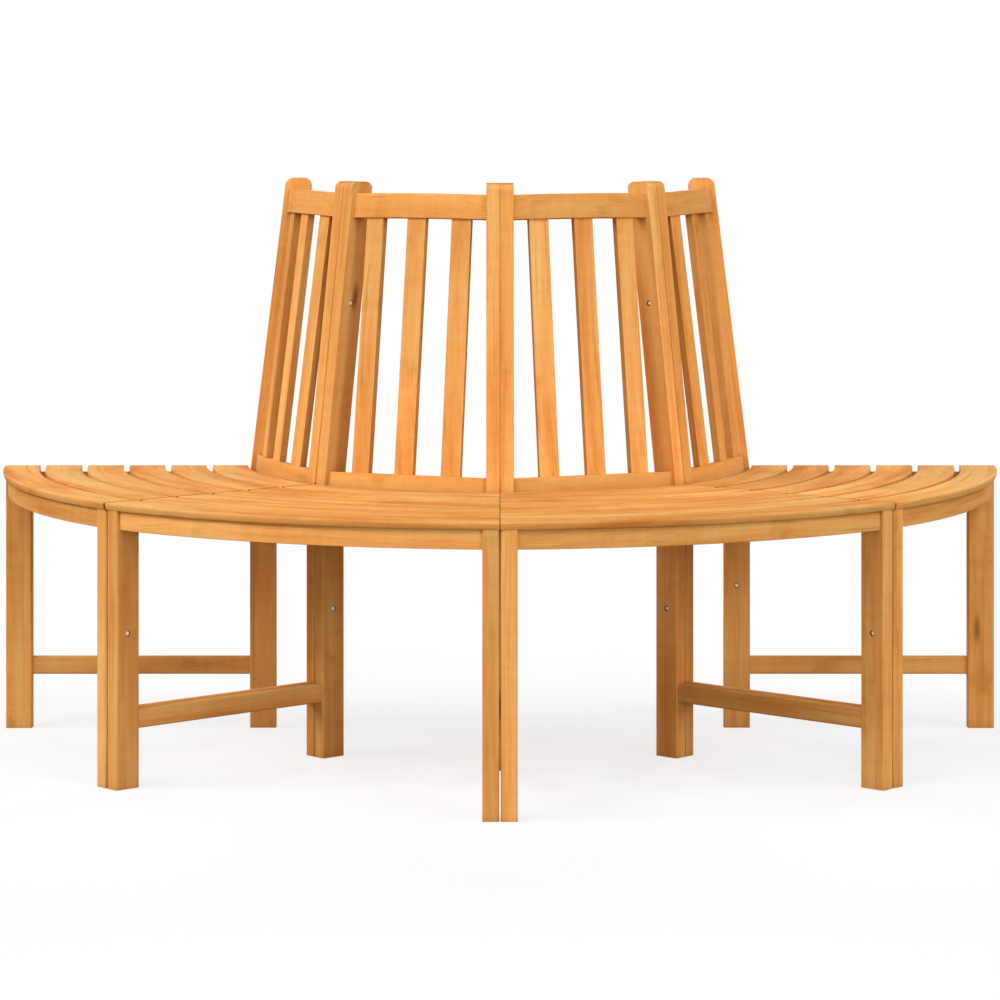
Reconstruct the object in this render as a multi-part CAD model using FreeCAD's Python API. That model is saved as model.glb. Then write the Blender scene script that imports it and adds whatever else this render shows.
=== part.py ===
# Half-round slatted bench in four bays, for the front half of a tree trunk.
# Millimetres, +Z up. The origin is the middle of the bench's footprint, on the floor.
# The seat's curved front faces -Y. The flat rear, which a wall or a second half meets, faces +Y.
# Five joints bound the four bays. Joints, bays and pieces count from the left, seen from the front.
import FreeCAD
import Part
import math
import os

Vector = FreeCAD.Vector
UP = Vector(0, 0, 1)

# Plan
BENCH_RADIUS = 800.0       # from the tree's axis to the seat rim, where two bays meet
POST_RADIUS = 403.0        # from the tree's axis to the outer face of a back post, below the seat
SIDE_JOINT_ANGLE = 48.4    # direction of the two slanting joints, from straight ahead
SIDE_JOINT_FAN = 30.0      # these two start this far in front of the tree's axis
ARC_FLATTENING = 95.0      # an arc's radius is its distance from the tree's axis plus this

# Heights and the lean of the back
OVERALL_HEIGHT = 886.0
SEAT_HEIGHT = 421.0
BACK_LEAN = 7.0            # degrees, towards the tree

# Side frames: two at each inner joint, back to back, and one at each end
LEG_WIDTH = 42.0           # along the joint
LEG_THICKNESS = 24.0       # across the joint
LEG_SETBACK = 4.0          # front leg's outer face behind the seat rim
LEG_JOINT_GAP = 1.0        # front leg's face off the joint plane, where the posts touch
POST_WIDTH = 42.0
POST_THICKNESS = 21.0
POST_TOP_RADIUS = 13.0     # rounding of a post's two upper corners
BEARER_HEIGHT = 29.0
BEARER_THICKNESS = 18.0
BEARER_INSET = 1.5         # bearer's face off the joint plane
STRETCHER_BOTTOM = 86.0
STRETCHER_HEIGHT = 28.0
STRETCHER_THICKNESS = 15.0
STRETCHER_INSET = 3.5      # stretcher's face off the joint plane

# Seat
SLAT_RINGS = 6
SLAT_THICKNESS = 10.0
SLAT_GAP = 9.6
SLAT_END_GAP = 0.75        # slat's end before the joint plane
SEAT_BACK_GAP = 4.0        # innermost slat off the back posts
RIM_BEVEL = 3.0            # on the rim's two outer edges
APRON_HEIGHT = 29.0
APRON_THICKNESS = 20.0
APRON_RECESS = 5.0         # apron's face behind the front legs' outer faces

# Back
RAIL_HEIGHT = 38.0
RAIL_THICKNESS = 20.0
RAIL_RECESS = 8.0          # rail's face behind the posts' outer faces
TOP_RAIL_DROP = 17.5       # rail's upper edge below the post tops
BOTTOM_RAIL_RISE = 20.0    # rail's upper edge above the seat
BACK_SLATS = 3             # in each bay
BACK_SLAT_WIDTH = 31.0
BACK_SLAT_THICKNESS = 12.0
BACK_SLAT_FOOT_GAP = 41.0  # between a post and the nearest slat, at the bottom rail
BACK_SLAT_HEAD_GAP = 23.0  # the same at the top rail

# Mortise and tenon joints
TENON_SHOULDER = 5.0       # from a board's edges to its tenon
TENON_CLEARANCE = 0.15     # on each side of a tenon and past its end
FRAME_TENON_THICKNESS = 7.0
FRAME_TENON_DEPTH = 18.0   # bearers and stretchers, into the legs and posts
BEARER_TENON_DROP = 10.0   # bearer's tenon below the slats, which keeps it under the bottom rail's
SIDE_TENON_THICKNESS = 8.0
SIDE_TENON_DEPTH = 12.0    # aprons and rails, into the inner faces of legs and posts
SLAT_TENON_SHOULDER = 2.5
SLAT_TENON_DEPTH = 10.0    # back slats, into the rails

# Hexagon bolts and cap nuts that hold neighbouring frames together, sunk in pockets
BOLT_DIAMETER = 5.0
BOLT_HEAD_FLATS = 8.0      # across the flats of head and nut
BOLT_HEAD_HEIGHT = 3.5     # the nut's too
BOLT_HEAD_SINK = 0.5       # head and nut below the wood's face
BOLT_CLEARANCE = 0.25      # round shanks, heads and nuts
SHORT_BOLT_GAP = 2.5       # end frame's bolt, short of the rear face
LOWER_BOLT_HEIGHT = 229.0
UPPER_BOLT_DROP = 188.0    # below the post tops
BOLT_SIDES = 6             # holes, pockets and shanks are six-sided like the heads, so that faces stay few

# Edges
ARRIS = 2.0                # bevel on the long edges of legs and stretchers
BOARD_ARRIS = 1.5          # bevel on the long edges of posts, bearers, rails and back slats

# Places that follow from the sizes above
TREE_AXIS = Vector(0, BENCH_RADIUS / 2, 0)
SLAT_UNDERSIDE = SEAT_HEIGHT - SLAT_THICKNESS
LEG_RADIUS = BENCH_RADIUS - LEG_SETBACK
LEG_FACE = LEG_JOINT_GAP + LEG_THICKNESS
APRON_RADIUS = LEG_RADIUS - APRON_RECESS
APRON_BOTTOM = SLAT_UNDERSIDE - APRON_HEIGHT
POCKET_DEPTH = BOLT_HEAD_HEIGHT + BOLT_HEAD_SINK
SEAT_DEPTH = BENCH_RADIUS - POST_RADIUS - SEAT_BACK_GAP
SLAT_WIDTH = (SEAT_DEPTH - (SLAT_RINGS - 1) * SLAT_GAP) / SLAT_RINGS
LEAN = math.radians(BACK_LEAN)
REACH = 2 * (BENCH_RADIUS + OVERALL_HEIGHT)    # longer than anything on the bench


def post_face(height):
    """Distance of a post's outer face in its frame: upright below the slats, leaning above."""
    return POST_RADIUS - max(0.0, height - SLAT_UNDERSIDE) * math.tan(LEAN)


class Joint:
    """The upright plane between two bays: from above, a line that runs outwards from near the tree."""

    def __init__(self, angle, fan, leg_bolts, post_bolts):
        self.leg_bolts = leg_bolts
        self.post_bolts = post_bolts
        self.turn = angle - 90
        direction = math.radians(angle)
        self.along = Vector(math.sin(direction), -math.cos(direction), 0)
        self.across = Vector(math.cos(direction), math.sin(direction), 0)
        self.start = Vector(0, -fan, 0)
        self.frame_zero = self.at_radius(POST_RADIUS) - self.along * POST_RADIUS

    def at_radius(self, radius, inset=0.0):
        """The point at this distance from the tree's axis, on the line moved sideways by inset."""
        foot = self.start + self.across * inset
        lead = foot.dot(self.along)
        travel = math.sqrt(radius ** 2 - foot.dot(foot) + lead ** 2) - lead
        return TREE_AXIS + foot + self.along * travel

    def frame_point(self, distance, inset):
        """A side frame's own distance and inset as a point in plan."""
        return self.frame_zero + self.along * distance + self.across * inset

    def place(self, shape, side):
        """Stands a side frame's piece at the joint: side 1 is its right and side -1 its left."""
        placed = shape.copy()
        if side < 0:
            placed = shape.mirror(Vector(0, 0, 0), Vector(0, 1, 0))
        placed.Placement = FreeCAD.Placement(self.frame_zero, FreeCAD.Rotation(UP, self.turn))
        return placed


class Bay:
    """The part of the bench between two joints."""

    def __init__(self, left, right):
        self.left = left
        self.right = right

    def ends(self, radius, inset):
        """Both ends of an edge at this distance from the tree's axis, short of the joints by inset."""
        return self.left.at_radius(radius, inset), self.right.at_radius(radius, -inset)

    def frame_points(self, distance, inset):
        """The same point on both of the bay's side frames."""
        return self.left.frame_point(distance, inset), self.right.frame_point(distance, -inset)

    def wedge(self, inset):
        """The space between the two joint planes, each moved into the bay by inset."""
        left, right = self.frame_points(0.0, inset)
        spread = self.left.along.cross(self.right.along).z
        tip = left + self.left.along * ((right - left).cross(self.right.along).z / spread)
        corners = [tip, tip + self.left.along * REACH, tip + self.right.along * REACH, tip]
        return Part.Face(Part.makePolygon(corners)).extrude(UP * OVERALL_HEIGHT)


def edges_along(shape, direction):
    """The straight edges that run along a direction."""
    chosen = []
    for edge in shape.Edges:
        if isinstance(edge.Curve, Part.Line) and abs(edge.Curve.Direction.dot(direction)) > 0.999:
            chosen.append(edge)
    return chosen


def edges_at_height(edges, height):
    """Those of some edges that lie level at a height."""
    return [edge for edge in edges if max(abs(vertex.Z - height) for vertex in edge.Vertexes) < 1e-6]


def arcs_of_radius(shape, radius):
    """The long edges of a curved board that have this radius."""
    arcs = [edge for edge in shape.Edges if isinstance(edge.Curve, Part.Circle)]
    return [edge for edge in arcs if abs(edge.Curve.Radius - radius) < 1e-3]


# Curved boards that lie level: the seat slats and the aprons

def plan_arc(ends, radius):
    """Arc in plan from the left end to the right end, bulging away from the tree."""
    left, right = ends
    chord = right - left
    sagitta = radius - math.sqrt(radius ** 2 - (chord.Length / 2) ** 2)
    outwards = Vector(chord.y, -chord.x, 0).normalize()
    return Part.Arc(left, (left + right) * 0.5 + outwards * sagitta, right).toShape()


def curved_board(bay, outer_radius, inner_radius, inset, bottom, height):
    """A level board between two arcs round the tree, with its ends parallel to the joints."""
    outer = bay.ends(outer_radius, inset)
    inner = bay.ends(inner_radius, inset)
    outline = Part.Wire([
        plan_arc(outer, outer_radius + ARC_FLATTENING),
        Part.makeLine(outer[1], inner[1]),
        plan_arc(inner, inner_radius + ARC_FLATTENING),
        Part.makeLine(inner[0], outer[0]),
    ])
    board = Part.Face(outline).extrude(UP * height)
    board.translate(UP * bottom)
    return board


def seat_slat(bay, ring):
    """One seat slat. Ring 1 is the rim, whose two outer edges are bevelled."""
    outer_radius = BENCH_RADIUS - (ring - 1) * (SLAT_WIDTH + SLAT_GAP)
    inner_radius = outer_radius - SLAT_WIDTH
    slat = curved_board(bay, outer_radius, inner_radius, SLAT_END_GAP, SLAT_UNDERSIDE, SLAT_THICKNESS)
    if ring == 1:
        return slat.makeChamfer(RIM_BEVEL, arcs_of_radius(slat, outer_radius + ARC_FLATTENING))
    return slat


def apron_tenons(bay, clearance):
    """The bar whose two ends are an apron's tenons, or with a clearance their mortises."""
    shoulder = (APRON_THICKNESS - SIDE_TENON_THICKNESS) / 2
    return curved_board(
        bay,
        APRON_RADIUS - shoulder + clearance,
        APRON_RADIUS - APRON_THICKNESS + shoulder - clearance,
        LEG_FACE - SIDE_TENON_DEPTH - clearance,
        APRON_BOTTOM + TENON_SHOULDER - clearance,
        APRON_HEIGHT - 2 * TENON_SHOULDER + 2 * clearance,
    )


def seat_apron(bay):
    """The curved board under the rim, tenoned between the two front legs of its bay."""
    inner_radius = APRON_RADIUS - APRON_THICKNESS
    board = curved_board(bay, APRON_RADIUS, inner_radius, LEG_FACE, APRON_BOTTOM, APRON_HEIGHT)
    return board.fuse(apron_tenons(bay, 0.0)).removeSplitter()


# Side frames, in their own axes: X outwards from the tree, Y into the bay, Z up

def frame_board(inset, thickness, bottom, height):
    """A straight board between the back post and the front leg."""
    length = LEG_RADIUS - LEG_WIDTH - POST_RADIUS
    return Part.makeBox(length, thickness, height, Vector(POST_RADIUS, inset, bottom))


def frame_tenons(middle, bottom, height, clearance):
    """The bar whose two ends are a board's tenons into post and leg, or with a clearance their mortises."""
    overrun = FRAME_TENON_DEPTH + clearance
    length = LEG_RADIUS - LEG_WIDTH - POST_RADIUS + 2 * overrun
    thickness = FRAME_TENON_THICKNESS + 2 * clearance
    corner = Vector(POST_RADIUS - overrun, middle - thickness / 2, bottom - clearance)
    return Part.makeBox(length, thickness, height + 2 * clearance, corner)


def bearer_tenons(clearance):
    """Tenons or mortises of a seat bearer."""
    height = BEARER_HEIGHT - BEARER_TENON_DROP - TENON_SHOULDER
    bottom = SLAT_UNDERSIDE - BEARER_HEIGHT + TENON_SHOULDER
    return frame_tenons(BEARER_INSET + BEARER_THICKNESS / 2, bottom, height, clearance)


def stretcher_tenons(clearance):
    """Tenons or mortises of a stretcher."""
    height = STRETCHER_HEIGHT - 2 * TENON_SHOULDER
    bottom = STRETCHER_BOTTOM + TENON_SHOULDER
    return frame_tenons(STRETCHER_INSET + STRETCHER_THICKNESS / 2, bottom, height, clearance)


def seat_bearer():
    """The board on edge that carries the slats' ends."""
    bottom = SLAT_UNDERSIDE - BEARER_HEIGHT
    board = frame_board(BEARER_INSET, BEARER_THICKNESS, bottom, BEARER_HEIGHT)
    lower_edges = edges_at_height(edges_along(board, Vector(1, 0, 0)), bottom)
    return board.makeChamfer(BOARD_ARRIS, lower_edges).fuse(bearer_tenons(0.0)).removeSplitter()


def stretcher():
    """The low bar that ties the back post to the front leg."""
    bar = frame_board(STRETCHER_INSET, STRETCHER_THICKNESS, STRETCHER_BOTTOM, STRETCHER_HEIGHT)
    bar = bar.makeChamfer(ARRIS, edges_along(bar, Vector(1, 0, 0)))
    return bar.fuse(stretcher_tenons(0.0)).removeSplitter()


def prism(distance, height, flats, start, end):
    """A regular prism across a side frame between two insets, this wide across its flats."""
    corner_radius = flats / 2 / math.cos(math.pi / BOLT_SIDES)
    corners = []
    for i in range(BOLT_SIDES + 1):
        angle = 2 * math.pi * i / BOLT_SIDES
        offset = Vector(corner_radius * math.cos(angle), start, corner_radius * math.sin(angle))
        corners.append(Vector(distance, 0, height) + offset)
    return Part.Face(Part.makePolygon(corners)).extrude(Vector(0, end - start, 0))


def pocketed_hole(distance, height, face):
    """The hole for a bolt through a leg or post, and the pocket in its face for the head or nut."""
    hole = prism(distance, height, BOLT_DIAMETER + 2 * BOLT_CLEARANCE, -face, 2 * face)
    pocket = prism(distance, height, BOLT_HEAD_FLATS + 2 * BOLT_CLEARANCE, face - POCKET_DEPTH, 2 * face)
    return hole.fuse(pocket)


def leg_bolt_distance():
    """Bolts go through the middle of a front leg."""
    return LEG_RADIUS - LEG_WIDTH / 2


def post_bolt_distance(height):
    """Bolts go through the middle of a back post."""
    return post_face(height) - POST_WIDTH / 2


def front_leg(bolt_heights):
    """A square leg. Its top carries the rim slat."""
    corner = Vector(LEG_RADIUS - LEG_WIDTH, LEG_JOINT_GAP, 0)
    leg = Part.makeBox(LEG_WIDTH, LEG_THICKNESS, SLAT_UNDERSIDE, corner)
    leg = leg.makeChamfer(ARRIS, edges_along(leg, UP))
    holes = [pocketed_hole(leg_bolt_distance(), height, LEG_FACE) for height in bolt_heights]
    return leg.cut([bearer_tenons(TENON_CLEARANCE), stretcher_tenons(TENON_CLEARANCE)] + holes)


def back_post(bolt_heights):
    """A back leg that goes on above the seat as a leaning post with rounded upper corners."""
    outer_top = post_face(OVERALL_HEIGHT)
    inner_top = outer_top - POST_WIDTH / math.cos(LEAN)
    inner_bend = SLAT_UNDERSIDE - POST_WIDTH * math.tan(LEAN / 2)
    corners = [
        Vector(POST_RADIUS, 0, 0),
        Vector(POST_RADIUS, 0, SLAT_UNDERSIDE),
        Vector(outer_top, 0, OVERALL_HEIGHT),
        Vector(inner_top, 0, OVERALL_HEIGHT),
        Vector(POST_RADIUS - POST_WIDTH, 0, inner_bend),
        Vector(POST_RADIUS - POST_WIDTH, 0, 0),
    ]
    outline = Part.makePolygon(corners + corners[:1])
    blank = Part.Face(outline).extrude(Vector(0, POST_THICKNESS, 0))
    upper_corners = edges_at_height(edges_along(blank, Vector(0, 1, 0)), OVERALL_HEIGHT)
    long_edges = [edge for edge in blank.Edges if edge.Length > 2 * POST_WIDTH]
    post = blank.makeChamfer(BOARD_ARRIS, long_edges)
    post = post.common(blank.makeFillet(POST_TOP_RADIUS, upper_corners))
    holes = [pocketed_hole(post_bolt_distance(height), height, POST_THICKNESS) for height in bolt_heights]
    return post.cut([bearer_tenons(TENON_CLEARANCE), stretcher_tenons(TENON_CLEARANCE)] + holes)


# The back of one bay. Each rail is a board sawn to an arc and leaned back like the posts.
# In a rail's own axes X runs along its chord to the left, Y outwards and Z up the lean,
# from the middle of the chord of its upper outer edge.

class Rail:
    """One curved rail between the two posts of a bay, its upper outer edge at a height."""

    def __init__(self, bay, height):
        self.bay = bay
        self.face = post_face(height) - RAIL_RECESS
        left, right = bay.frame_points(self.face, POST_THICKNESS)
        chord = left - right
        self.half_width = chord.Length / 2
        self.radius = self.face + ARC_FLATTENING
        self.centre = -math.sqrt(self.radius ** 2 - self.half_width ** 2)
        self.half_angle = math.asin((self.half_width + POST_THICKNESS) / self.radius)
        outwards = Vector(-chord.y, chord.x, 0).normalize()
        up_lean = UP * math.cos(LEAN) - outwards * math.sin(LEAN)
        out_lean = outwards * math.cos(LEAN) + UP * math.sin(LEAN)
        turn = FreeCAD.Rotation(chord.normalize(), out_lean, up_lean, "ZXY")
        self.placement = FreeCAD.Placement((left + right) * 0.5 + UP * height, turn)

    def on_arc(self, depth, angle):
        """A point at a depth behind the rail's face, at an angle about the arc's centre."""
        radius = self.radius - depth
        return Vector(radius * math.sin(angle), self.centre + radius * math.cos(angle), 0)

    def bar(self, front, rear, low, high):
        """A curved bar between two depths and two heights, which runs on through the posts."""
        angles = (-self.half_angle, 0.0, self.half_angle)
        front_arc = Part.Arc(*[self.on_arc(front, angle) for angle in angles]).toShape()
        rear_arc = Part.Arc(*[self.on_arc(rear, angle) for angle in angles]).toShape()
        outline = Part.Wire([
            front_arc,
            Part.makeLine(self.on_arc(front, angles[2]), self.on_arc(rear, angles[2])),
            rear_arc,
            Part.makeLine(self.on_arc(rear, angles[0]), self.on_arc(front, angles[0])),
        ])
        bar = Part.Face(outline).extrude(UP * (high - low))
        bar.translate(UP * low)
        return bar

    def placed(self, shape):
        """A shape of the rail's own axes in its place on the bench."""
        moved = shape.copy()
        moved.Placement = self.placement.multiply(shape.Placement)
        return moved

    def tenons(self, clearance):
        """The bar whose two ends are the rail's tenons, or with a clearance their mortises."""
        front = (RAIL_THICKNESS - SIDE_TENON_THICKNESS) / 2 - clearance
        low = TENON_SHOULDER - RAIL_HEIGHT - clearance
        high = clearance - TENON_SHOULDER
        bar = self.placed(self.bar(front, RAIL_THICKNESS - front, low, high))
        return bar.common(self.bay.wedge(POST_THICKNESS - SIDE_TENON_DEPTH - clearance))

    def solid(self):
        """The rail without mortises."""
        bar = self.bar(0.0, RAIL_THICKNESS, -RAIL_HEIGHT, 0.0)
        bar = self.placed(bar.makeChamfer(BOARD_ARRIS, arcs_of_radius(bar, self.radius)))
        return bar.common(self.bay.wedge(POST_THICKNESS)).fuse(self.tenons(0.0)).removeSplitter()

    def slat_end(self, i, gap, height):
        """The middle of back slat i's end, and the way the rail runs there. The gap is at the posts."""
        reach = self.half_width - gap - BACK_SLAT_WIDTH / 2
        depth = RAIL_THICKNESS / 2
        angle = math.asin(reach * (1 - 2 * i / (BACK_SLATS - 1)) / (self.radius - depth))
        run = Vector(math.cos(angle), -math.sin(angle), 0)
        middle = self.on_arc(depth, angle) + UP * height
        return self.placement.multVec(middle), self.placement.Rotation.multVec(run)


class BackSlats:
    """The straight slats of one bay, fanned between its two rails."""

    def __init__(self, bottom, top):
        self.bottom = bottom
        self.top = top

    def bar(self, i, shoulder, overrun):
        """A straight bar along slat i, thinner by a shoulder all round and longer by an overrun."""
        foot, run = self.bottom.slat_end(i, BACK_SLAT_FOOT_GAP, 0.0)
        head, _ = self.top.slat_end(i, BACK_SLAT_HEAD_GAP, -RAIL_HEIGHT)
        width = BACK_SLAT_WIDTH - 2 * shoulder
        thickness = BACK_SLAT_THICKNESS - 2 * shoulder
        length = (head - foot).Length + 2 * overrun
        bar = Part.makeBox(width, thickness, length, Vector(-width / 2, -thickness / 2, -overrun))
        rise = (head - foot).normalize()
        bar.Placement = FreeCAD.Placement(foot, FreeCAD.Rotation(run, rise.cross(run), rise, "ZXY"))
        return bar

    def between_rails(self):
        """The space above the bottom rail's upper face and below the top rail's lower face."""
        above = Part.makeBox(REACH, REACH, REACH, Vector(-REACH / 2, -REACH / 2, 0))
        below = Part.makeBox(REACH, REACH, REACH, Vector(-REACH / 2, -REACH / 2, -REACH - RAIL_HEIGHT))
        return self.bottom.placed(above).common(self.top.placed(below))

    def solids(self):
        """All slats of the bay."""
        room = self.between_rails()
        slats = []
        for i in range(BACK_SLATS):
            slat = self.bar(i, 0.0, RAIL_HEIGHT / 2)
            length = slat.BoundBox.ZLength / 2
            slat = slat.makeChamfer(BOARD_ARRIS, [edge for edge in slat.Edges if edge.Length > length])
            tenons = self.bar(i, SLAT_TENON_SHOULDER, SLAT_TENON_DEPTH)
            slats.append(slat.common(room).fuse(tenons).removeSplitter())
        return slats

    def mortises(self):
        """What the slats' tenons need cut out of both rails."""
        shoulder = SLAT_TENON_SHOULDER - TENON_CLEARANCE
        overrun = SLAT_TENON_DEPTH + TENON_CLEARANCE
        return [self.bar(i, shoulder, overrun) for i in range(BACK_SLATS)]


# Bolts and nuts, in a side frame's axes

def bolt(distance, height, seat, end):
    """A bolt with its head on the wood at seat and its shank's end at end."""
    shank = prism(distance, height, BOLT_DIAMETER, end, seat)
    return shank.fuse(prism(distance, height, BOLT_HEAD_FLATS, seat, seat + BOLT_HEAD_HEIGHT))


def cap_nut(distance, height, seat):
    """A closed nut on the wood at seat, on the far side, over a bolt's end."""
    return prism(distance, height, BOLT_HEAD_FLATS, seat, seat - BOLT_HEAD_HEIGHT)


def bolt_places(joint):
    """Distance, height and pocket floor of every bolt at a joint."""
    leg_seat = LEG_FACE - POCKET_DEPTH
    post_seat = POST_THICKNESS - POCKET_DEPTH
    places = [(leg_bolt_distance(), height, leg_seat) for height in joint.leg_bolts]
    return places + [(post_bolt_distance(height), height, post_seat) for height in joint.post_bolts]


# The whole bench

def make_joints():
    """The five joints from left to right. The right end frame has one bolt and the left has none."""
    post_bolts = [LOWER_BOLT_HEIGHT, OVERALL_HEIGHT - UPPER_BOLT_DROP]
    inner = [(-SIDE_JOINT_ANGLE, SIDE_JOINT_FAN), (0.0, 0.0), (SIDE_JOINT_ANGLE, SIDE_JOINT_FAN)]
    joints = [Joint(angle, fan, [LOWER_BOLT_HEIGHT], post_bolts) for angle, fan in inner]
    return [Joint(-90.0, 0.0, [], [])] + joints + [Joint(90.0, 0.0, [], [LOWER_BOLT_HEIGHT])]


def make_bay(bay, number):
    """The pieces of one bay by name."""
    bottom = Rail(bay, SEAT_HEIGHT + BOTTOM_RAIL_RISE)
    top = Rail(bay, OVERALL_HEIGHT - TOP_RAIL_DROP)
    slats = BackSlats(bottom, top)
    rail_mortises = [bottom.tenons(TENON_CLEARANCE), top.tenons(TENON_CLEARANCE)]
    pieces = {
        "seat_apron_%d" % number: [seat_apron(bay)],
        "back_bottom_rail_%d" % number: [bottom.solid().cut(slats.mortises())],
        "back_top_rail_%d" % number: [top.solid().cut(slats.mortises())],
        "back_slats_%d" % number: slats.solids(),
    }
    for joint, side in ((bay.left, 1), (bay.right, -1)):
        frame = 2 * number - (1 if side > 0 else 0)
        leg = joint.place(front_leg(joint.leg_bolts), side)
        post = joint.place(back_post(joint.post_bolts), side)
        pieces["front_leg_%d" % frame] = [leg.cut(apron_tenons(bay, TENON_CLEARANCE))]
        pieces["back_post_%d" % frame] = [post.cut(rail_mortises)]
        pieces["seat_bearer_%d" % frame] = [joint.place(seat_bearer(), side)]
        pieces["stretcher_%d" % frame] = [joint.place(stretcher(), side)]
    return pieces


def make_bolts(joints):
    """The bolts through pairs of frames, their nuts, and the single short bolt of the right end frame."""
    bolts = []
    nuts = []
    for joint in joints[1:-1]:
        for distance, height, seat in bolt_places(joint):
            bolts.append(joint.place(bolt(distance, height, seat, -seat), 1))
            nuts.append(joint.place(cap_nut(distance, height, -seat), 1))
    for distance, height, seat in bolt_places(joints[-1]):
        bolts.append(joints[-1].place(bolt(distance, height, seat, SHORT_BOLT_GAP), -1))
    return {"joint_bolts": bolts, "joint_cap_nuts": nuts}


def make_bench():
    """Every piece of the bench by name. Pieces that share a name are a list of separate solids."""
    joints = make_joints()
    bays = [Bay(left, right) for left, right in zip(joints[:-1], joints[1:])]
    pieces = {}
    for number, bay in enumerate(bays, start=1):
        pieces.update(make_bay(bay, number))
    for ring in range(1, SLAT_RINGS + 1):
        pieces["seat_ring_%d" % ring] = [seat_slat(bay, ring) for bay in bays]
    pieces.update(make_bolts(joints))
    return pieces


os.makedirs("parts", exist_ok=True)
for name, solids in make_bench().items():
    shape = solids[0] if len(solids) == 1 else Part.makeCompound(solids)
    shape.exportStep("parts/" + name + ".step")
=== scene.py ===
"""The looks of a half-round slatted bench that stands against a tree trunk.

Lengths are in metres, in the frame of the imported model: X to the right, Y to the back
and Z up. The tree's axis stands over the middle of the straight back edge. Joints, bays
and side frames count from the left, seen from the front.
"""

import math
import random

import bmesh
import bpy
from mathutils import Matrix, Vector


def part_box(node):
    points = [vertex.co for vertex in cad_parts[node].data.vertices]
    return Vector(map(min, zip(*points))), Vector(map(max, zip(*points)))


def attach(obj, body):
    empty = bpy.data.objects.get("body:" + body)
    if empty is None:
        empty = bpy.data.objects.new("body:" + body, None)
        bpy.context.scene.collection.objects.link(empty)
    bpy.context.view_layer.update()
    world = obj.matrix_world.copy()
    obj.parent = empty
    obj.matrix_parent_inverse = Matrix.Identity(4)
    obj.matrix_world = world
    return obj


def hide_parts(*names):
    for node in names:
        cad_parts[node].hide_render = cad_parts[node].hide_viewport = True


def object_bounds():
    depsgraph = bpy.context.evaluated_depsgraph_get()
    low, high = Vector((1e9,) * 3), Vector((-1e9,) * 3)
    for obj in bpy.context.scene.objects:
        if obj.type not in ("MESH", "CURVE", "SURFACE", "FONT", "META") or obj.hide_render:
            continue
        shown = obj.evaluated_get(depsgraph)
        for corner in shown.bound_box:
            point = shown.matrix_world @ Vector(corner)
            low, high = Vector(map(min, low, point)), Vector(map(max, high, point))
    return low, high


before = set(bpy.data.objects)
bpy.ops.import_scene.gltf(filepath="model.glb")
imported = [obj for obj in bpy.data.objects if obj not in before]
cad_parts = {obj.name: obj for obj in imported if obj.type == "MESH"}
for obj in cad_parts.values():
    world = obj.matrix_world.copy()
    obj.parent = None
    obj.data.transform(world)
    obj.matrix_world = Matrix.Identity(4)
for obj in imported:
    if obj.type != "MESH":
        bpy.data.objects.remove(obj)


def bounds_as_lists():
    low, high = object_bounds()
    return [list(low), list(high)]


size_at_load = bounds_as_lists()

# Sizes read from the model
BENCH_RADIUS = size_at_load[1][0]
OVERALL_HEIGHT = size_at_load[1][2]
SLAT_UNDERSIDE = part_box("seat_ring_1")[0][2]
SEAT_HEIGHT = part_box("seat_ring_1")[1][2]
SLAT_THICKNESS = SEAT_HEIGHT - SLAT_UNDERSIDE
APRON_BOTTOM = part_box("seat_apron_1")[0][2]

# Sizes that repeat the model's, named as in its source
TREE_AXIS = Vector((0, BENCH_RADIUS / 2, 0))
POST_RADIUS = 0.403
SIDE_JOINT_ANGLE = 48.4
SIDE_JOINT_FAN = 0.030
ARC_FLATTENING = 0.095
BACK_LEAN = math.radians(7)
POST_THICKNESS = 0.021
POST_WIDTH = 0.042
LEG_RADIUS = 0.796
LEG_WIDTH = 0.042
LEG_FACE = 0.025
SLAT_RINGS = 6
SLAT_GAP = 0.0096
SEAT_BACK_GAP = 0.004
SEAT_DEPTH = BENCH_RADIUS - POST_RADIUS - SEAT_BACK_GAP
SLAT_WIDTH = (SEAT_DEPTH - (SLAT_RINGS - 1) * SLAT_GAP) / SLAT_RINGS
APRON_RADIUS = 0.791
APRON_THICKNESS = 0.020
RAIL_HEIGHT = 0.038
RAIL_THICKNESS = 0.020
RAIL_RECESS = 0.008
TOP_RAIL_DROP = 0.0175
BOTTOM_RAIL_RISE = 0.020
BACK_SLATS = 3
BACK_SLAT_WIDTH = 0.031
BACK_SLAT_THICKNESS = 0.012
BACK_SLAT_FOOT_GAP = 0.041
BACK_SLAT_HEAD_GAP = 0.023
BOLT_HEAD_HEIGHT = 0.0035
POCKET_DEPTH = 0.004
LOWER_BOLT_HEIGHT = 0.229
UPPER_BOLT_DROP = 0.188

# Sizes that only the looks have
SLAT_END_GAP = 0.0004      # from a seat slat to the joint's plane
TENON_REACH = 0.006        # how far a tenoned board runs on into its neighbour
HEAD_FLATS = 0.0064        # of bolt heads and nuts, which have a little room in their pockets

# Rounded edges, and how finely they and the long curves are cut
SOFT_EDGE = 0.0012
RIM_UPPER_EDGE = 0.0014
RIM_LOWER_EDGE = (0.0024, 0.0072)   # planed off: across and up
PLANED_EDGE_POWER = 1.6    # 1 is round, 2 is flat
RIM_END = 0.0016
SLAT_END = 0.0008
LEAST_EDGE = 1e-4          # where a section is shrunk
CORNER_STEPS = 4
STATION_SPACING = 0.02
SHARP_FROM = math.radians(12)

# The shape of a bolt's head. Radii are shares of the flats.
HEAD_SIDES = 24
HEAD_CHAMFER = math.radians(35)
HEAD_DOME = ((0.42, 0.0004), (0.30, 0.00015), (0.12, 0.0))   # radius, and drop below the top

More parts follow.
